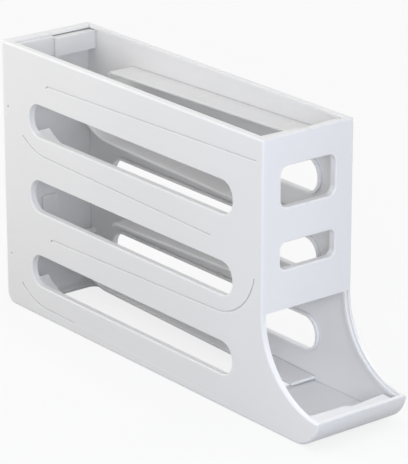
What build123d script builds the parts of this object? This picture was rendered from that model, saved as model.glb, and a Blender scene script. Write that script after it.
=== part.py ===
from build123d import *
import math
import os

# A four-tier rolling dispenser for the kitchen, moulded as two half shells that meet on the
# middle plane. Eight sloped rails pressed into the shells carry the goods down from the open
# top to the tray at the front.
# Lengths are millimetres. x runs from the rear face to the tray, y across, z up from the base.

# Overall size
overall_length = 359.0
overall_width = 79.6
overall_height = 204.0
scoop_radius = 59.0  # the curve from the front wall down to the bar
bar_height = 21.5  # top of the bar that closes the tray
bar_curve_run = 24.0  # how far back the bar's lower curve reaches
base_rear_radius = 9.0
edge_round = 1.8

# Walls and the rims that stiffen their edges
wall = 2.4
side_rim = 4.8  # depth of a side panel's rims, from its outer face
end_rim = 3.3  # depth of the front wall's and the bar's rims
front_collar = 5.4  # depth of the collars round the front windows
rear_rim = 6.6
scoop_lip = 2.6  # thickness of the scoop rim's raised outer band
scoop_step = 1.6  # how much lower its inner band lies
window_rim = 1.8  # thickness of the collar round a window
overrun = 1.0  # extra length of every cut

# Side windows
window_count = 3
window_band = 33.8  # solid wall between one window and the next
window_end_flat = 1.3  # straight part of a window's rounded end
window_rear_margin = 33.3
window_front_margin = 31.7
window_base_margin = 24.2
window_top_margin = 38.7
window_chamfer = 0.5

# Front windows, placed as shares of the front wall's height
front_window_side_margin = 15.8
front_window_bevel = 45.0  # degrees
lower_window_height = 19.6
lower_window_corner = 5.0
lower_window_share = 0.306
upper_window_height = 29.4
upper_window_corner = 6.2
upper_window_share = 0.702

# Opening in the base, between the foot flanges
base_flange = 8.0
base_opening_rear_margin = 16.0
base_opening_front_margin = 38.0
base_opening_corner = 8.0

# Rails
rail_slope = 1.45  # degrees
rail_thickness = 2.2
rail_gap = 32.2  # open middle between the two rails of a tier
rail_tongue = 1.4  # thickness of the edge that sits in the panel's channel
rail_end_gap = 1.2  # from a rail's front end to the front windows' collars
seat_depth = 1.0
seat_clearance = 0.1
rail_chamfer = 0.5
nose_radius = 4.5
nose_turn = 55.0  # degrees
mark_width = 1.2  # the shallow line outside each channel
mark_depth = 0.8
mark_draft = 6.0  # degrees

top_rail_rear = 58.8
top_rail_depth = 21.9  # below the rim, at the rail's rear end

second_rail_rear = 52.5
second_rail_drop = 13.5  # below the top window
second_rail_front_margin = 55.0
rear_curve_radius = 46.0
rear_curve_turn = 37.0  # degrees

third_rail_rear = 61.5
third_rail_drop = 17.0  # below the middle window
front_curve_radius = 42.0
front_curve_turn = 78.0  # degrees

bottom_rail_rear = 50.0
bottom_rail_height = 9.0
bottom_rail_front_margin = 34.0
bottom_rail_slope = 1.15  # degrees
bottom_mark_length = 36.0
bottom_curve_turn = 41.0  # degrees

gusset_count = 4
gusset_thickness = 1.6
gusset_setback = 6.0  # from a rail's free edge
gusset_drop = 6.0

# Ledges inside the rims of the end walls. Each changes in depth from the side panel to the seam.
ledge_drop = 2.2
ledge_thickness = 1.8
front_ledge_depth = 6.0
bar_ledge_depth = 5.0
rear_guide_depth = 14.0
left_front_ledge_root = 12.0
left_front_ledge_seam = 10.1
right_front_ledge_root = 10.5
right_front_ledge_seam = 7.6
left_bar_ledge_root = 15.9
left_bar_ledge_seam = 13.5
right_bar_ledge_root = 13.1
right_bar_ledge_seam = 10.3
left_rear_guide_root = 8.6
left_rear_guide_seam = 9.6
right_rear_guide_root = 10.4
right_rear_guide_seam = 11.4
right_guide_drop = 1.0  # the right half's rear guide stands this much lower
bar_notch = 3.6  # gap between the right half's bar ledge and its side panel

# Joint between the halves
dowel_diameter = 3.0
dowel_length = 24.0
dowel_clearance = 0.1
boss_diameter = 6.4
boss_from_rear = 6.8
boss_web = 1.6
boss_dot_diameter = 2.0  # the small sunk dot outside each boss
boss_dot_depth = 0.9
lower_boss_height = 40.0
upper_boss_depth = 49.0  # below the rim
tab_thickness = 1.6
tab_root = 8.0
tab_reach = 5.0
tab_clearance = 0.15
tab_margin = 1.5  # from a tab to the rims above and below it
rear_tab_height = 14.0
rear_tab_shares = (0.26, 0.65)  # of the way from the lower dowel to the upper one

# Derived sizes and places
half_width = overall_width / 2
panel_inside = -half_width + wall
body_length = overall_length - scoop_radius  # rear face to the face of the front wall
front_wall_base = bar_height + scoop_radius
front_wall_height = overall_height - front_wall_base
front_rim_face = body_length - end_rim
front_collar_face = body_length - front_collar
bar_curve_radius = (bar_curve_run ** 2 + bar_height ** 2) / (2 * bar_height)
quarter = 90
bar_inner_turn = quarter - math.degrees(
    math.asin((bar_curve_radius - bar_height) / (bar_curve_radius - wall)))

window_length = body_length - window_rear_margin - window_front_margin
window_stack = overall_height - window_base_margin - window_top_margin
window_height = (window_stack - (window_count - 1) * window_band) / window_count
window_corner = (window_height - window_end_flat) / 2
window_pitch = window_height + window_band

front_window_width = overall_width - 2 * front_window_side_margin
lower_window_base = front_wall_base + front_wall_height * lower_window_share - lower_window_height / 2
lower_window_top = lower_window_base + lower_window_height
upper_window_base = front_wall_base + front_wall_height * upper_window_share - upper_window_height / 2
upper_window_top = upper_window_base + upper_window_height

rail_edge = -rail_gap / 2  # free edge of a left rail
top_rail_height = overall_height - top_rail_depth
top_rail_front = front_collar_face - rail_end_gap
second_rail_height = window_base_margin + 2 * window_pitch - second_rail_drop
second_rail_front = body_length - second_rail_front_margin
third_rail_height = window_base_margin + window_pitch - third_rail_drop
third_rail_front = front_collar_face - rail_end_gap - front_curve_radius
bottom_rail_front = body_length - bottom_rail_front_margin
bottom_mark_front = bottom_rail_rear + bottom_mark_length
base_opening_front = body_length - base_opening_front_margin
upper_boss_height = overall_height - upper_boss_depth


def slab(profile, y_start, y_end):
    # A side-view profile in x and z, made solid across the width.
    return Pos(0, y_start, 0) * extrude(Plane.XZ * profile, amount=y_end - y_start, dir=(0, 1, 0))


def post(profile, z_start, z_end):
    # A plan-view profile in x and y, made solid upwards.
    return Pos(0, 0, z_start) * extrude(profile, amount=z_end - z_start)


def plate(profile, x_start, x_end):
    # An end-view profile in y and z, made solid along the length.
    return Pos(x_start, 0, 0) * extrude(Plane.YZ * profile, amount=x_end - x_start)


def block(x_start, x_end, y_start, y_end, z_start, z_end):
    corners = [(x_start, y_start), (x_end, y_start), (x_end, y_end), (x_start, y_end)]
    return post(make_face(Polyline(*corners, close=True)), z_start, z_end)


# Rail paths, drawn as x and z


def rise(angle, run):
    return math.tan(math.radians(angle)) * run


def heading(angle):
    return (math.cos(math.radians(angle)), math.sin(math.radians(angle)))


def top_rail_path():
    start = (top_rail_rear, top_rail_height)
    end = (top_rail_front, top_rail_height + rise(rail_slope, top_rail_front - top_rail_rear))
    nose = JernArc(start, heading(180 + rail_slope), nose_radius, nose_turn)
    return [nose, Line(start, end)]


def second_rail_path():
    start = (second_rail_rear, second_rail_height)
    run = second_rail_front - second_rail_rear
    end = (second_rail_front, second_rail_height - rise(rail_slope, run))
    curve = JernArc(start, heading(180 - rail_slope), rear_curve_radius, -rear_curve_turn)
    return [curve, Line(start, end)]


def third_rail_path():
    start = (third_rail_rear, third_rail_height)
    run = third_rail_front - third_rail_rear
    end = (third_rail_front, third_rail_height + rise(rail_slope, run))
    nose = JernArc(start, heading(180 + rail_slope), nose_radius, nose_turn)
    curve = JernArc(end, heading(rail_slope), front_curve_radius, front_curve_turn)
    return [nose, Line(start, end), curve]


def bottom_rail_path(front=bottom_rail_front):
    start = (bottom_rail_rear, bottom_rail_height)
    run = front - bottom_rail_rear
    end = (front, bottom_rail_height - rise(bottom_rail_slope, run))
    curve = JernArc(start, heading(180 - bottom_rail_slope), rear_curve_radius, -bottom_curve_turn)
    return [curve, Line(start, end)]


rail_paths = {
    "top": top_rail_path(),
    "second": second_rail_path(),
    "third": third_rail_path(),
    "bottom": bottom_rail_path(),
}


# Profiles of the shell


def side_outline():
    return make_face([
        Line((0, base_rear_radius), (0, overall_height)),
        Line((0, overall_height), (body_length, overall_height)),
        Line((body_length, overall_height), (body_length, front_wall_base)),
        CenterArc((overall_length, front_wall_base), scoop_radius, 2 * quarter, quarter),
        TangentArc((overall_length - bar_curve_run, 0), (overall_length, bar_height), tangent=(1, 0)),
        Line((overall_length - bar_curve_run, 0), (base_rear_radius, 0)),
        CenterArc((base_rear_radius, base_rear_radius), base_rear_radius, 2 * quarter, quarter),
    ])


def channel_outline():
    # The space between the end walls, open at the top and over the tray.
    inner_front = body_length - wall
    bar_centre = (overall_length - bar_curve_run, bar_curve_radius)
    bar_curve = CenterArc(bar_centre, bar_curve_radius - wall, 3 * quarter, bar_inner_turn)
    bar_top = bar_curve @ 1
    top = overall_height + overrun
    return make_face([
        Line((wall, base_rear_radius), (wall, top)),
        Line((wall, top), (inner_front, top)),
        Line((inner_front, top), (inner_front, front_wall_base)),
        Line((inner_front, front_wall_base), (bar_top.X, front_wall_base)),
        Line((bar_top.X, front_wall_base), bar_top),
        bar_curve,
        Line((overall_length - bar_curve_run, wall), (base_rear_radius, wall)),
        CenterArc((base_rear_radius, base_rear_radius), base_rear_radius - wall, 2 * quarter, quarter),
    ])


def side_windows(collar=0):
    shapes = []
    for tier in range(window_count):
        centre_x = window_rear_margin + window_length / 2
        centre_z = window_base_margin + window_height / 2 + tier * window_pitch
        rounded = RectangleRounded(
            window_length + 2 * collar, window_height + 2 * collar, window_corner + collar)
        shapes.append(Pos(centre_x, centre_z) * rounded)
    return Sketch() + shapes


def front_windows(collar=0):
    shapes = []
    for base, height, corner in (
        (lower_window_base, lower_window_height, lower_window_corner),
        (upper_window_base, upper_window_height, upper_window_corner),
    ):
        rounded = RectangleRounded(front_window_width + 2 * collar, height + 2 * collar, corner + collar)
        shapes.append(Pos(0, base + height / 2) * rounded)
    return Sketch() + shapes


# Shell features, all drawn for the half on the -y side


def end_rims(blank):
    y_start = panel_inside
    rim_top = overall_height - wall
    rims = [
        block(front_rim_face, body_length - wall / 2, y_start, 0, rim_top, overall_height),
        block(front_rim_face, body_length - wall / 2, y_start, 0,
              front_wall_base, front_wall_base + wall),
        block(wall / 2, rear_rim, y_start, 0, rim_top, overall_height),
        blank & block(overall_length - end_rim, overall_length, y_start, 0,
                      bar_height - wall, front_wall_base),
    ]
    near_half = block(0, overall_length, -half_width, 0, 0, overall_height)
    collars = plate(front_windows(window_rim), front_collar_face, body_length - wall / 2)
    return rims + [collars & near_half]


def ledge(outer_x, inward, reach, top, depth, root):
    # A shelf along an end wall, with its inner edge turned down.
    at_root = outer_x + inward * reach[0]
    at_seam = outer_x + inward * reach[1]
    back = inward * ledge_thickness
    shelf = Polyline((outer_x, root), (at_root, root), (at_seam, 0), (outer_x, 0), close=True)
    lip = Polyline((at_root - back, root), (at_root, root), (at_seam, 0), (at_seam - back, 0), close=True)
    return [
        post(make_face(shelf), top - ledge_thickness, top),
        post(make_face(lip), top - depth, top),
    ]


def ledges(front_reach, bar_reach, rear_reach, rear_drop, notch):
    root = panel_inside
    top = overall_height - ledge_drop
    bar_root = -half_width + side_rim + notch if notch else root
    pieces = ledge(body_length - wall / 2, -1, front_reach, top, front_ledge_depth, root)
    pieces += ledge(overall_length - wall, -1, bar_reach, bar_height - ledge_drop,
                    bar_ledge_depth, bar_root)
    pieces += ledge(wall / 2, 1, rear_reach, top - rear_drop, rear_guide_depth, root)
    return pieces


def bosses():
    pieces = []
    for height in (lower_boss_height, upper_boss_height):
        barrel = slab(Pos(boss_from_rear, height) * Circle(boss_diameter / 2), panel_inside, 0)
        web = block(wall / 2, boss_from_rear, panel_inside, 0,
                    height - boss_web / 2, height + boss_web / 2)
        pieces += [barrel, web]
    return pieces


def boss_dots():
    return [
        slab(Pos(boss_from_rear, height) * Circle(boss_dot_diameter / 2),
             -half_width - overrun, -half_width + boss_dot_depth)
        for height in (lower_boss_height, upper_boss_height)
    ]


def boss_holes():
    depth = dowel_length / 2 + dowel_clearance
    radius = dowel_diameter / 2 + dowel_clearance
    return [
        slab(Pos(boss_from_rear, height) * Circle(radius), -depth, overrun)
        for height in (lower_boss_height, upper_boss_height)
    ]


def tab(wall_face, inward, low, high):
    # A tab that crosses the seam and lies against the inside of the other half's wall.
    inner = wall_face + inward * (tab_clearance + tab_thickness)
    outer = wall_face + inward * tab_clearance
    outline = Polyline(
        (wall_face, -tab_root), (inner, -tab_root), (inner, tab_reach),
        (outer, tab_reach), (outer, 0), (wall_face, 0), close=True)
    return post(make_face(outline), low, high)


def tabs():
    # Three between the front wall's rims, two between the dowels at the rear.
    pieces = []
    for low, high in (
        (front_wall_base + wall, lower_window_base - window_rim),
        (lower_window_top + window_rim, upper_window_base - window_rim),
        (upper_window_top + window_rim, overall_height - ledge_drop - ledge_thickness),
    ):
        pieces.append(tab(body_length - wall, -1, low + tab_margin, high - tab_margin))
    for share in rear_tab_shares:
        middle = lower_boss_height + share * (upper_boss_height - lower_boss_height)
        pieces.append(tab(wall, 1, middle - rear_tab_height / 2, middle + rear_tab_height / 2))
    return pieces


def rail_channels():
    width = rail_tongue + 2 * seat_clearance
    return [slab(trace(path, width), panel_inside - seat_depth, panel_inside)
            for path in rail_paths.values()]


def groove(profile):
    # A shallow line in the outer face, narrower at its foot.
    sketch = Plane.XZ * profile
    return Pos(0, -half_width, 0) * extrude(sketch, amount=mark_depth, dir=(0, 1, 0), taper=mark_draft)


def rail_marks():
    marked = dict(rail_paths)
    marked["bottom"] = bottom_rail_path(bottom_mark_front)
    return [groove(trace(path, mark_width)) for path in marked.values()]


def scoop_disc(extra):
    return Pos(overall_length, front_wall_base) * Circle(scoop_radius + extra)


def scoop_recess():
    # The inner band of the scoop's rim lies lower than its outer band.
    band = slab(scoop_disc(scoop_step), -half_width + scoop_lip, -half_width + side_rim)
    return band & block(body_length - wall, overall_length - end_rim, -half_width, 0, 0, front_wall_base)


def front_window_bevels():
    sketch = Plane.YZ * front_windows(window_chamfer)
    bevel = extrude(sketch, amount=window_chamfer, dir=(-1, 0, 0), taper=front_window_bevel)
    return Pos(body_length, 0, 0) * bevel


def base_opening():
    length = base_opening_front - base_opening_rear_margin
    centre = Pos(base_opening_rear_margin + length / 2, 0)
    shape = centre * RectangleRounded(length, overall_width - 2 * base_flange, base_opening_corner)
    return post(shape, -overrun, wall + overrun)


def shell(front_reach, bar_reach, rear_reach, rear_drop, notch, with_tabs):
    blank = slab(side_outline(), -half_width, 0)
    outer_face = blank.faces().sort_by(Axis.Y)[0]
    blank = fillet(outer_face.edges(), edge_round)

    recess = offset(side_outline(), -wall, kind=Kind.INTERSECTION) - side_windows(window_rim)
    recess -= scoop_disc(scoop_step + wall)
    half = blank - slab(recess, panel_inside, -half_width + side_rim)
    half -= slab(channel_outline(), -half_width + side_rim, overrun)
    half -= scoop_recess()
    half += end_rims(blank)
    half += ledges(front_reach, bar_reach, rear_reach, rear_drop, notch)
    half += bosses()
    if with_tabs:
        half += tabs()

    half -= slab(side_windows(), -half_width - overrun, -half_width + side_rim + overrun)
    half -= plate(front_windows(), front_collar_face - overrun, body_length + overrun)
    half -= front_window_bevels()
    outer_face = half.faces().filter_by(Axis.Y).sort_by(Axis.Y)[0]
    window_edges = [edge for wire in outer_face.inner_wires() for edge in wire.edges()]
    half = chamfer(window_edges, window_chamfer)

    half -= base_opening()
    half -= boss_holes()
    half -= rail_channels()
    half -= rail_marks()
    half -= boss_dots()
    return half


# Rails


def gussets(path):
    run = max(path, key=lambda edge: edge.length)
    pieces = []
    for index in range(gusset_count):
        share = (index + 1) / (gusset_count + 1)
        place = run.position_at(share)
        outline = Polyline(
            (panel_inside, place.Y), (rail_edge - gusset_setback, place.Y),
            (panel_inside, place.Y - rail_thickness / 2 - gusset_drop), close=True)
        start = place.X - gusset_thickness / 2
        pieces.append(plate(make_face(outline), start, start + gusset_thickness))
    return pieces


def rail(path, with_gussets):
    strip = slab(trace(path, rail_thickness), panel_inside, rail_edge)
    strip = chamfer(strip.faces().sort_by(Axis.Y)[-1].edges(), rail_chamfer)
    strip += slab(trace(path, rail_tongue), panel_inside - seat_depth + seat_clearance, panel_inside)
    if with_gussets:
        strip += gussets(path)
    return strip


# Joining pins


def dowel(height):
    profile = Pos(boss_from_rear, height) * Circle(dowel_diameter / 2)
    return slab(profile, -dowel_length / 2, dowel_length / 2)


def flipped(shape):
    return mirror(shape, about=Plane.XZ)


def save(name, shape):
    # The part's own origin is the middle of its base.
    placed = Pos(-overall_length / 2, 0, 0) * shape
    export_step(placed, "parts/" + name + ".step")
    print(name, round(placed.volume, 1), placed.bounding_box())


os.makedirs("parts", exist_ok=True)

save("left_shell", shell(
    (left_front_ledge_root, left_front_ledge_seam),
    (left_bar_ledge_root, left_bar_ledge_seam),
    (left_rear_guide_root, left_rear_guide_seam),
    0, 0, True))
save("right_shell", flipped(shell(
    (right_front_ledge_root, right_front_ledge_seam),
    (right_bar_ledge_root, right_bar_ledge_seam),
    (right_rear_guide_root, right_rear_guide_seam),
    right_guide_drop, bar_notch, False)))

for tier, path in rail_paths.items():
    strip = rail(path, tier != "bottom")
    save("left_" + tier + "_rail", strip)
    save("right_" + tier + "_rail", flipped(strip))

save("lower_rear_dowel", dowel(lower_boss_height))
save("upper_rear_dowel", dowel(upper_boss_height))
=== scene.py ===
import math
import bmesh
import bpy
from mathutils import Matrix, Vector


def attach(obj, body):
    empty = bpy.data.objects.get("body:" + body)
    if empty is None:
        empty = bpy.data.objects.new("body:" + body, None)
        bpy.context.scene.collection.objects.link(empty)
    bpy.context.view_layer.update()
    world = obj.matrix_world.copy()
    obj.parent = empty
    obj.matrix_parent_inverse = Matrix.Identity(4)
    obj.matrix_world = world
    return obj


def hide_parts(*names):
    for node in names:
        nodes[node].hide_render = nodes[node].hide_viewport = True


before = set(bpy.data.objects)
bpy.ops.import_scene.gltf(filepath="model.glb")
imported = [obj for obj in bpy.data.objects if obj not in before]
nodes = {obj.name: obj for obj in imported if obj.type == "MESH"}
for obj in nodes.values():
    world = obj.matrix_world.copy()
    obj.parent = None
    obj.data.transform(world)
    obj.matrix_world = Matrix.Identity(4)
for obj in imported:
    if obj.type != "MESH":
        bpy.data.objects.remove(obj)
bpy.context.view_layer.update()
scene = bpy.context.scene
print("frame loaded:", len(nodes), "pieces")

mm = 0.001


def addNode(tree, kind, sockets, **settings):
    # each socket gets a plain value, or a link from another node's output
    node = tree.nodes.new(kind)
    for name, value in settings.items():
        setattr(node, name, value)
    for key, value in sockets.items():
        if isinstance(value, bpy.types.NodeSocket):
            tree.links.new(value, node.inputs[key])
        else:
            node.inputs[key].default_value = value
    return node


def number(tree, operation, *values):
    return addNode(tree, "ShaderNodeMath", dict(enumerate(values)), operation=operation).outputs[0]


def vector(tree, operation, *values):
    node = addNode(tree, "ShaderNodeVectorMath", dict(enumerate(values)), operation=operation)
    return node.outputs["Vector"]


def scaled(tree, value, factor):
    node = addNode(tree, "ShaderNodeVectorMath", {0: value, "Scale": factor}, operation="SCALE")
    return node.outputs["Vector"]


def mapped(tree, value, start, end, **settings):
    # carries value from the range start to the range end
    labels = ("Value", "From Min", "From Max", "To Min", "To Max")
    sockets = dict(zip(labels, (value, *start, *end)))
    return addNode(tree, "ShaderNodeMapRange", sockets, **settings).outputs["Result"]


def noise(tree, where, scale, detail):
    sockets = {"Vector": where, "Scale": scale, "Detail": detail}
    return addNode(tree, "ShaderNodeTexNoise", sockets).outputs["Fac"]


def mixed(tree, share, first, second):
    return addNode(tree, "ShaderNodeMixShader", {"Fac": share, 1: first.outputs[0], 2: second.outputs[0]})


def grey(level):
    return (level, level, level, 1)


def emptyMaterial(name):
    material = bpy.data.materials.new(name)
    material.use_nodes = True
    material.node_tree.nodes.clear()
    return material, material.node_tree


# white moulded plastic, with lengths in metres and noise scales in waves per metre
shellFinish = {
    "tone": (0.852, 0.85, 0.852),
    "lowTone": (0.828, 0.826, 0.828),
    "driftScale": 9.0,
    "driftDetail": 3.0,
    "driftEnds": (0.3, 0.7),        # noise values that give the low tone and the tone
    "ior": 1.49,
    "rough": 0.39,
    "roughSwing": 0.06,             # how far the gloss varies across a face
    "roughScale": 28.0,
    "roughDetail": 4.0,
    "creaseReach": 1.4 * mm,        # grooves and seams about this wide get painted shade
    "creaseShadeTone": 0.75,             # the share of the colour that is left deep in them under the painted shade
    "creaseEnds": (0.35, 0.85),     # how open a spot is where it counts as deep, and as plain
    "lipReach": 1.8 * mm,           # lips about this thin get a painted highlight
    # how strong the painted highlight on lips is
    "lipHighlightGain": 0.12,
    "lipTilt": 0.9,                 # the probe leans up, so that a lip under an opening, where light from above would catch, gets the most painted highlight
    "seamFade": 1.3,                # no painted highlight within lipReach of the seam, full at this many times that
    "probes": 12,                   # rays that feel for creases and lips
    "grainSize": 0.45 * mm,
    "grainDepth": 0.010 * mm,
    "grainDetail": 2.0,
    "waveSize": 38 * mm,
    "waveDepth": 0.05 * mm,
    "waveDetail": 1.0,
}
railFinish = dict(shellFinish, tone=(0.836, 0.835, 0.838), lowTone=(0.806, 0.805, 0.808), rough=0.45)
dowelFinish = dict(shellFinish, tone=(0.78, 0.78, 0.77), lowTone=(0.74, 0.74, 0.73), rough=0.5)


def mouldedPlastic(name, finish):
    material, tree = emptyMaterial(name)
    where = addNode(tree, "ShaderNodeTexCoord", {}).outputs["Object"]

    # slow drift of colour, as the melt cools unevenly
    drift = noise(tree, where, finish["driftScale"], finish["driftDetail"])
    tone = addNode(tree, "ShaderNodeValToRGB", {"Fac": drift})
    stops = zip(tone.color_ramp.elements, finish["driftEnds"], (finish["lowTone"], finish["tone"]))
    for stop, position, colour in stops:
        stop.position = position
        stop.color = (*colour, 1)

    # how open a spot is: 0 deep in a groove or seam, 1 on a plain face; closed spots get painted shade
    crease = addNode(tree, "ShaderNodeAmbientOcclusion", {"Distance": finish["creaseReach"]},
                     samples=finish["probes"])
    openness = mapped(tree, crease.outputs["AO"], finish["creaseEnds"], (0, 1))

    # the lip under a groove or an opening is thin, and gets a painted highlight that makes it a little
    # lighter
    face = addNode(tree, "ShaderNodeNewGeometry", {}).outputs["Normal"]
    tilted = vector(tree, "NORMALIZE", vector(tree, "ADD", face, (0, 0, -finish["lipTilt"])))
    lip = addNode(tree, "ShaderNodeAmbientOcclusion", {"Distance": finish["lipReach"], "Normal": tilted},
                  samples=finish["probes"], inside=True, only_local=True)
    # but no painted highlight along the seam on the middle plane, which is closed and plain
    across = addNode(tree, "ShaderNodeSeparateXYZ", {"Vector": where}).outputs["Y"]
    seamEnds = (finish["lipReach"], finish["lipReach"] * finish["seamFade"])
    offSeam = mapped(tree, number(tree, "ABSOLUTE", across), seamEnds, (0, 1))
    thin = number(tree, "MULTIPLY", number(tree, "SUBTRACT", 1, lip.outputs["AO"]), offSeam)
    paintedLipHighlight = number(tree, "MULTIPLY", thin, finish["lipHighlightGain"])
    # painted shade: the colour is darkened where a spot is closed in
    plain = number(tree, "MULTIPLY_ADD", openness, 1 - finish["creaseShadeTone"], finish["creaseShadeTone"])
    # the painted highlight on lips is added on top of the painted shade
    level = number(tree, "MULTIPLY_ADD", paintedLipHighlight, openness, plain)

    # gloss that varies a little across the face
    rough, swing = finish["rough"], finish["roughSwing"]
    gloss = mapped(tree, noise(tree, where, finish["roughScale"], finish["roughDetail"]),
                   (0, 1), (rough - swing, rough + swing))

    # faint waviness under a fine grain
    wave = addNode(tree, "ShaderNodeBump", {
        "Height": noise(tree, where, 1 / finish["waveSize"], finish["waveDetail"]),
        "Distance": finish["waveDepth"],
    })
    grain = addNode(tree, "ShaderNodeBump", {
        "Height": noise(tree, where, 1 / finish["grainSize"], finish["grainDetail"]),
        "Distance": finish["grainDepth"],
        "Normal": wave.outputs["Normal"],
    })

    plastic = addNode(tree, "ShaderNodeBsdfPrincipled", {
        # the base colour carries the painted shade and the painted highlight
        "Base Color": scaled(tree, tone.outputs["Color"], level),
        "Roughness": gloss,
        "IOR": finish["ior"],
        "Normal": grain.outputs["Normal"],
    })
    addNode(tree, "ShaderNodeOutputMaterial", {"Surface": plastic.outputs["BSDF"]})
    return material


plastics = {
    "shell": mouldedPlastic("shellPlastic", shellFinish),
    "rail": mouldedPlastic("railPlastic", railFinish),
    "dowel": mouldedPlastic("dowelPlastic", dowelFinish),
}
for name, piece in nodes.items():
    piece.data.materials.clear()
    piece.data.materials.append(plastics[name.split("_")[-1]])
print("materials on", len(nodes), "pieces")


# eight sloped strips in four tiers: the left ones are drawn, and the right ones mirror them
# lengths in millimetres, angles in degrees, x from the case's rear face
rail = {
    "section": {
        "wallEdge": -37.4,          # where a left strip meets its panel
        "freeEdge": -16.1,
        "thickness": 2.2,
        "edgeRound": 0.8,
        "tongueEdge": -38.3,        # the tongue goes this far into the panel's channel
        "tongueThickness": 1.4,
        "gussetThickness": 1.6,
        "gussetSetback": 6.0,       # its tip stays this far from the free edge
        "gussetTip": 1.2,           # how deep it is at the tip, and at the panel
        "gussetDrop": 6.0,
    },
    "caseLength": 359.0,
    "arcSteps": 28,
    "roundSteps": 5,
    "sharpAngle": 35,
    "mergeReach": 0.001,
}

# rear end of each straight run, its slope, its front end, and the curves at its ends as (radius, turn)
tiers = {
    "top": {"start": (58.8, 182.1), "slope": 1.45, "front": 293.4,
            "rearCurve": (4.5, 55), "gussets": 4},
    "second": {"start": (52.5, 127.3), "slope": -1.45, "front": 245.0,
               "rearCurve": (46.0, -37), "gussets": 4},
    "third": {"start": (61.5, 65.5), "slope": 1.45, "front": 251.4,
              "rearCurve": (4.5, 55), "frontCurve": (42.0, 78), "gussets": 4},
    "bottom": {"start": (50.0, 9.0), "slope": -1.15, "front": 266.0,
               "rearCurve": (46.0, -41), "gussets": 0},
}


def arcFrom(start, heading, curve):
    # points after start on an arc that leaves it along heading; a positive turn is to the left
    radius, turn = curve
    across = math.radians(heading + math.copysign(90, turn))
    centre = (start[0] + radius * math.cos(across), start[1] + radius * math.sin(across))
    points = []
    for step in range(1, rail["arcSteps"] + 1):
        angle = across + math.pi + math.radians(turn) * step / rail["arcSteps"]
        points.append((centre[0] + radius * math.cos(angle), centre[1] + radius * math.sin(angle)))
    return points


def railPath(tier):
    start = tier["start"]
    rise = math.tan(math.radians(tier["slope"])) * (tier["front"] - start[0])
    end = (tier["front"], start[1] + rise)
    points = arcFrom(start, 180 + tier["slope"], tier["rearCurve"])[::-1] + [start, end]
    if "frontCurve" in tier:
        points += arcFrom(end, tier["slope"], tier["frontCurve"])
    return points, start, end


def inFrame(point):
    return Vector(((point[0] - rail["caseLength"] / 2) * mm, 0, point[1] * mm))


def pointAt(tree, x, y):
    return addNode(tree, "ShaderNodeCombineXYZ", {"X": x, "Y": y}).outputs[0]


def crossSection(tree, near, far, depth):
    # a rectangle across the rail, from one edge to the other
    box = addNode(tree, "GeometryNodeCurvePrimitiveQuadrilateral",
                  {"Width": number(tree, "SUBTRACT", far, near), "Height": depth})
    middle = number(tree, "MULTIPLY", number(tree, "ADD", near, far), 0.5)
    placed = addNode(tree, "GeometryNodeTransform",
                     {"Geometry": box.outputs["Curve"], "Translation": pointAt(tree, middle, 0)})
    return placed.outputs["Geometry"]


def rounded(tree, outline, radius):
    sockets = {"Curve": outline, "Count": rail["roundSteps"], "Radius": radius}
    return addNode(tree, "GeometryNodeFilletCurve", sockets, mode="POLY").outputs["Curve"]


def upright(tree, curve):
    # keeps the section level across the case, also on the curves
    return addNode(tree, "GeometryNodeSetCurveNormal", {"Curve": curve}, mode="Z_UP").outputs["Curve"]


def sweepAlong(tree, path, outline):
    # sections are drawn as y and z, and a half turn lays them that way along the path
    turned = addNode(tree, "GeometryNodeTransform", {"Geometry": outline, "Rotation": (0, 0, math.pi)})
    swept = addNode(tree, "GeometryNodeCurveToMesh",
                    {"Curve": path, "Profile Curve": turned.outputs["Geometry"], "Fill Caps": True})
    return swept.outputs["Mesh"]


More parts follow.
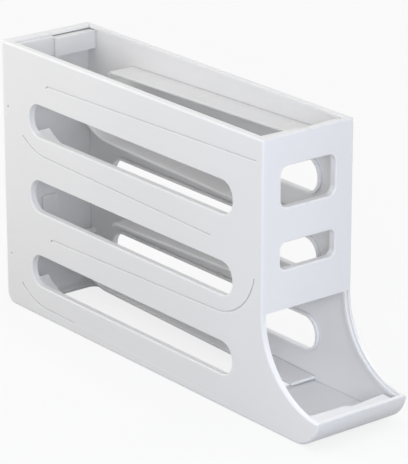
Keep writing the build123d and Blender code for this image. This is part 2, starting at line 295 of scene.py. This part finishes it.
def railTree():
    tree = bpy.data.node_groups.new("sweptRail", "GeometryNodeTree")
    kinds = {"path": "Geometry"}
    kinds.update(dict.fromkeys(rail["section"], "Float"))
    kinds.update({"gussetCount": "Int", "runStart": "Vector", "runEnd": "Vector", "plastic": "Material"})
    for label, kind in kinds.items():
        tree.interface.new_socket(label, in_out="INPUT", socket_type="NodeSocket" + kind)
    tree.interface.new_socket("rail", in_out="OUTPUT", socket_type="NodeSocketGeometry")
    given = addNode(tree, "NodeGroupInput", {}).outputs

    route = addNode(tree, "GeometryNodeMeshToCurve", {"Mesh": given["path"]})
    path = upright(tree, route.outputs["Curve"])
    stripSection = crossSection(tree, given["wallEdge"], given["freeEdge"], given["thickness"])
    tongueSection = crossSection(tree, given["tongueEdge"], given["wallEdge"], given["tongueThickness"])
    strip = sweepAlong(tree, path, rounded(tree, stripSection, given["edgeRound"]))
    tongue = sweepAlong(tree, path, tongueSection)

    # one gusset, blunt at its tip
    tipEdge = number(tree, "SUBTRACT", given["freeEdge"], given["gussetSetback"])
    under = number(tree, "MULTIPLY", given["thickness"], -0.5)
    tipDepth = number(tree, "SUBTRACT", under, given["gussetTip"])
    wallDepth = number(tree, "SUBTRACT", under, given["gussetDrop"])
    outline = addNode(tree, "GeometryNodeCurvePrimitiveQuadrilateral", {
        "Point 1": pointAt(tree, given["wallEdge"], 0),
        "Point 2": pointAt(tree, tipEdge, 0),
        "Point 3": pointAt(tree, tipEdge, tipDepth),
        "Point 4": pointAt(tree, given["wallEdge"], wallDepth),
    }, mode="POINTS")
    half = number(tree, "MULTIPLY", given["gussetThickness"], 0.5)
    width = addNode(tree, "GeometryNodeCurvePrimitiveLine", {
        "Start": pointAt(tree, number(tree, "MULTIPLY", half, -1), 0),
        "End": pointAt(tree, half, 0),
    })
    gusset = sweepAlong(tree, upright(tree, width.outputs["Curve"]), outline.outputs["Curve"])

    # evenly spaced under the straight run
    run = vector(tree, "SUBTRACT", given["runEnd"], given["runStart"])
    gaps = number(tree, "ADD", given["gussetCount"], 1)
    pitch = scaled(tree, run, number(tree, "DIVIDE", 1, gaps))
    row = addNode(tree, "GeometryNodeMeshLine", {
        "Count": given["gussetCount"],
        "Start Location": vector(tree, "ADD", given["runStart"], pitch),
        "Offset": pitch,
    })
    gussets = addNode(tree, "GeometryNodeInstanceOnPoints",
                      {"Points": row.outputs["Mesh"], "Instance": gusset})

    together = addNode(tree, "GeometryNodeJoinGeometry", {})
    for part in (strip, tongue, gussets.outputs["Instances"]):
        tree.links.new(part, together.inputs["Geometry"])
    real = addNode(tree, "GeometryNodeRealizeInstances", {"Geometry": together.outputs["Geometry"]})
    coat = addNode(tree, "GeometryNodeSetMaterial",
                   {"Geometry": real.outputs["Geometry"], "Material": given["plastic"]})
    addNode(tree, "NodeGroupOutput", {"rail": coat.outputs["Geometry"]})
    return tree


def sweptMesh(tree, name, tier):
    points, start, end = railPath(tier)
    mesh = bpy.data.meshes.new(name + "Path")
    edges = [(index, index + 1) for index in range(len(points) - 1)]
    mesh.from_pydata([inFrame(point) for point in points], edges, [])
    holder = bpy.data.objects.new(name + "Path", mesh)
    scene.collection.objects.link(holder)
    sweep = holder.modifiers.new("sweep", "NODES")
    sweep.node_group = tree
    values = {label: length * mm for label, length in rail["section"].items()}
    values.update({"gussetCount": tier["gussets"], "runStart": inFrame(start), "runEnd": inFrame(end),
                   "plastic": plastics["rail"]})
    for socket in tree.interface.items_tree:
        if socket.name in values:
            sweep[socket.identifier] = values[socket.name]
    evaluated = holder.evaluated_get(bpy.context.evaluated_depsgraph_get())
    result = bpy.data.meshes.new_from_object(evaluated)
    holder.modifiers.remove(sweep)
    bpy.data.objects.remove(holder)
    return result


def placeRail(mesh, name, node):
    # faces outwards, rounds smooth, flats flat
    work = bmesh.new()
    work.from_mesh(mesh)
    bmesh.ops.remove_doubles(work, verts=work.verts, dist=rail["mergeReach"] * mm)
    bmesh.ops.recalc_face_normals(work, faces=work.faces)
    work.to_mesh(mesh)
    work.free()
    mesh.shade_smooth()
    mesh.set_sharp_from_angle(angle=math.radians(rail["sharpAngle"]))
    piece = bpy.data.objects.new(name, mesh)
    scene.collection.objects.link(piece)
    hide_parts(node)
    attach(piece, "root")


def makeRails():
    tree = railTree()
    for tierName, tier in tiers.items():
        name = tierName.capitalize() + "Rail"
        mesh = sweptMesh(tree, "left" + name, tier)
        mirrored = mesh.copy()
        for corner in mirrored.vertices:
            corner.co.y = -corner.co.y
        placeRail(mesh, "left" + name, "left_" + tierName + "_rail")
        placeRail(mirrored, "right" + name, "right_" + tierName + "_rail")


makeRails()
print("rails swept along", len(tiers), "tiers")


def shownRays(tree):
    # 1 for what the camera sees, directly or in gloss and glass
    path = addNode(tree, "ShaderNodeLightPath", {}).outputs
    seen = number(tree, "MAXIMUM", path["Is Camera Ray"], path["Is Glossy Ray"])
    return number(tree, "MAXIMUM", seen, path["Is Transmission Ray"])


# a pale floor: it lights the case as one tone, and camera and gloss see another
floorLook = {
    "size": 12.0,
    "tone": 0.38,                   # what it throws back at the case
    "glow": 0.953,                  # what is seen of it
    "shadeTone": 0.98,
    "shadeShare": 0.15,             # how much of the real shading is seen beside the case
    "shadeReach": (0.25, 0.6),      # it fades out between these distances, in metres
}


def floorMaterial():
    material, tree = emptyMaterial("paleFloor")
    paper = addNode(tree, "ShaderNodeBsdfDiffuse", {"Color": grey(floorLook["tone"])})
    shade = addNode(tree, "ShaderNodeBsdfDiffuse", {"Color": grey(floorLook["shadeTone"])})
    glow = addNode(tree, "ShaderNodeEmission", {"Color": grey(floorLook["glow"])})

    # the case's shadow shows near it and fades into an even tone
    where = addNode(tree, "ShaderNodeTexCoord", {}).outputs["Object"]
    distance = addNode(tree, "ShaderNodeVectorMath", {0: where}, operation="LENGTH").outputs["Value"]
    share = mapped(tree, distance, floorLook["shadeReach"], (floorLook["shadeShare"], 0),
                   interpolation_type="SMOOTHSTEP")
    surface = mixed(tree, shownRays(tree), paper, mixed(tree, share, glow, shade))
    addNode(tree, "ShaderNodeOutputMaterial", {"Surface": surface.outputs[0]})
    return material


def makeFloor():
    half = floorLook["size"] / 2
    corners = [(-half, -half, 0), (half, -half, 0), (half, half, 0), (-half, half, 0)]
    mesh = bpy.data.meshes.new("floor")
    mesh.from_pydata(corners, [], [(0, 1, 2, 3)])
    mesh.materials.append(floorMaterial())
    floor = bpy.data.objects.new("floor", mesh)
    scene.collection.objects.link(floor)


# light from all round, and what is seen beyond the floor
surround = {"ambient": 0.38, "backdrop": 0.945}


def lightWorld():
    scene.world = bpy.data.worlds.new("studio")
    scene.world.use_nodes = True
    tree = scene.world.node_tree
    tree.nodes.clear()
    fill = addNode(tree, "ShaderNodeBackground", {"Color": grey(1), "Strength": surround["ambient"]})
    backdrop = addNode(tree, "ShaderNodeBackground", {"Color": grey(surround["backdrop"])})
    surface = mixed(tree, shownRays(tree), fill, backdrop)
    addNode(tree, "ShaderNodeOutputWorld", {"Surface": surface.outputs[0]})


# area lamps, with the side in metres and the power in watts
lamps = {
    "sideSoftbox": {"place": (-0.29, -0.45, 0.37), "aim": (-0.07, -0.04, 0.12),
                    "side": 0.5, "power": 1.47, "tone": (1.0, 0.985, 0.95)},
    "frontSoftbox": {"place": (0.7, -0.35, 0.33), "aim": (0.12, 0, 0.13),
                     "side": 0.4, "power": 3.4, "tone": (0.83, 0.88, 1.0)},
    "farSoftbox": {"place": (0.15, 1.2, 0.55), "aim": (0.05, 0, 0.1),
                   "side": 0.8, "power": 8.0, "tone": (1.0, 1.0, 1.0)},
    "topSoftbox": {"place": (0.1, 0.05, 1.3), "aim": (0.05, 0, 0.1),
                   "side": 0.7, "power": 2.4, "tone": (1.0, 0.99, 0.97)},
    "rearSoftbox": {"place": (-1.2, -0.1, 0.3), "aim": (-0.1, 0, 0.1),
                    "side": 0.7, "power": 4.5, "tone": (1.0, 1.0, 1.0)},
}


def hangLamps():
    for name, lamp in lamps.items():
        data = bpy.data.lights.new(name, "AREA")
        data.shape = "SQUARE"
        data.size = lamp["side"]
        data.energy = lamp["power"]
        data.color = lamp["tone"]
        light = bpy.data.objects.new(name, data)
        scene.collection.objects.link(light)
        light.location = lamp["place"]
        heading = Vector(lamp["aim"]) - Vector(lamp["place"])
        light.rotation_euler = heading.to_track_quat("-Z", "Y").to_euler()
        light.visible_camera = False


# the camera stands where the photograph was taken from: place and reach in metres,
# turn and rise in degrees, lens and sensor in millimetres
camera = {
    "place": (1.50058, -1.18647, 0.79272),
    "turn": 51.51,
    "rise": 19.99,
    "lens": 223.9,
    "sensor": 36.0,
    "reach": 20,
}


def setCamera():
    data = bpy.data.cameras.new("photoCamera")
    data.lens = camera["lens"]
    data.sensor_width = camera["sensor"]
    data.clip_end = camera["reach"]
    seat = bpy.data.objects.new("photoCamera", data)
    scene.collection.objects.link(seat)
    seat.location = camera["place"]
    seat.rotation_euler = (math.pi / 2 - math.radians(camera["rise"]), 0, math.radians(camera["turn"]))
    bpy.context.scene.camera = seat


makeFloor()
lightWorld()
hangLamps()
setCamera()
bpy.context.scene.view_settings.view_transform = "Standard"
print("studio ready")
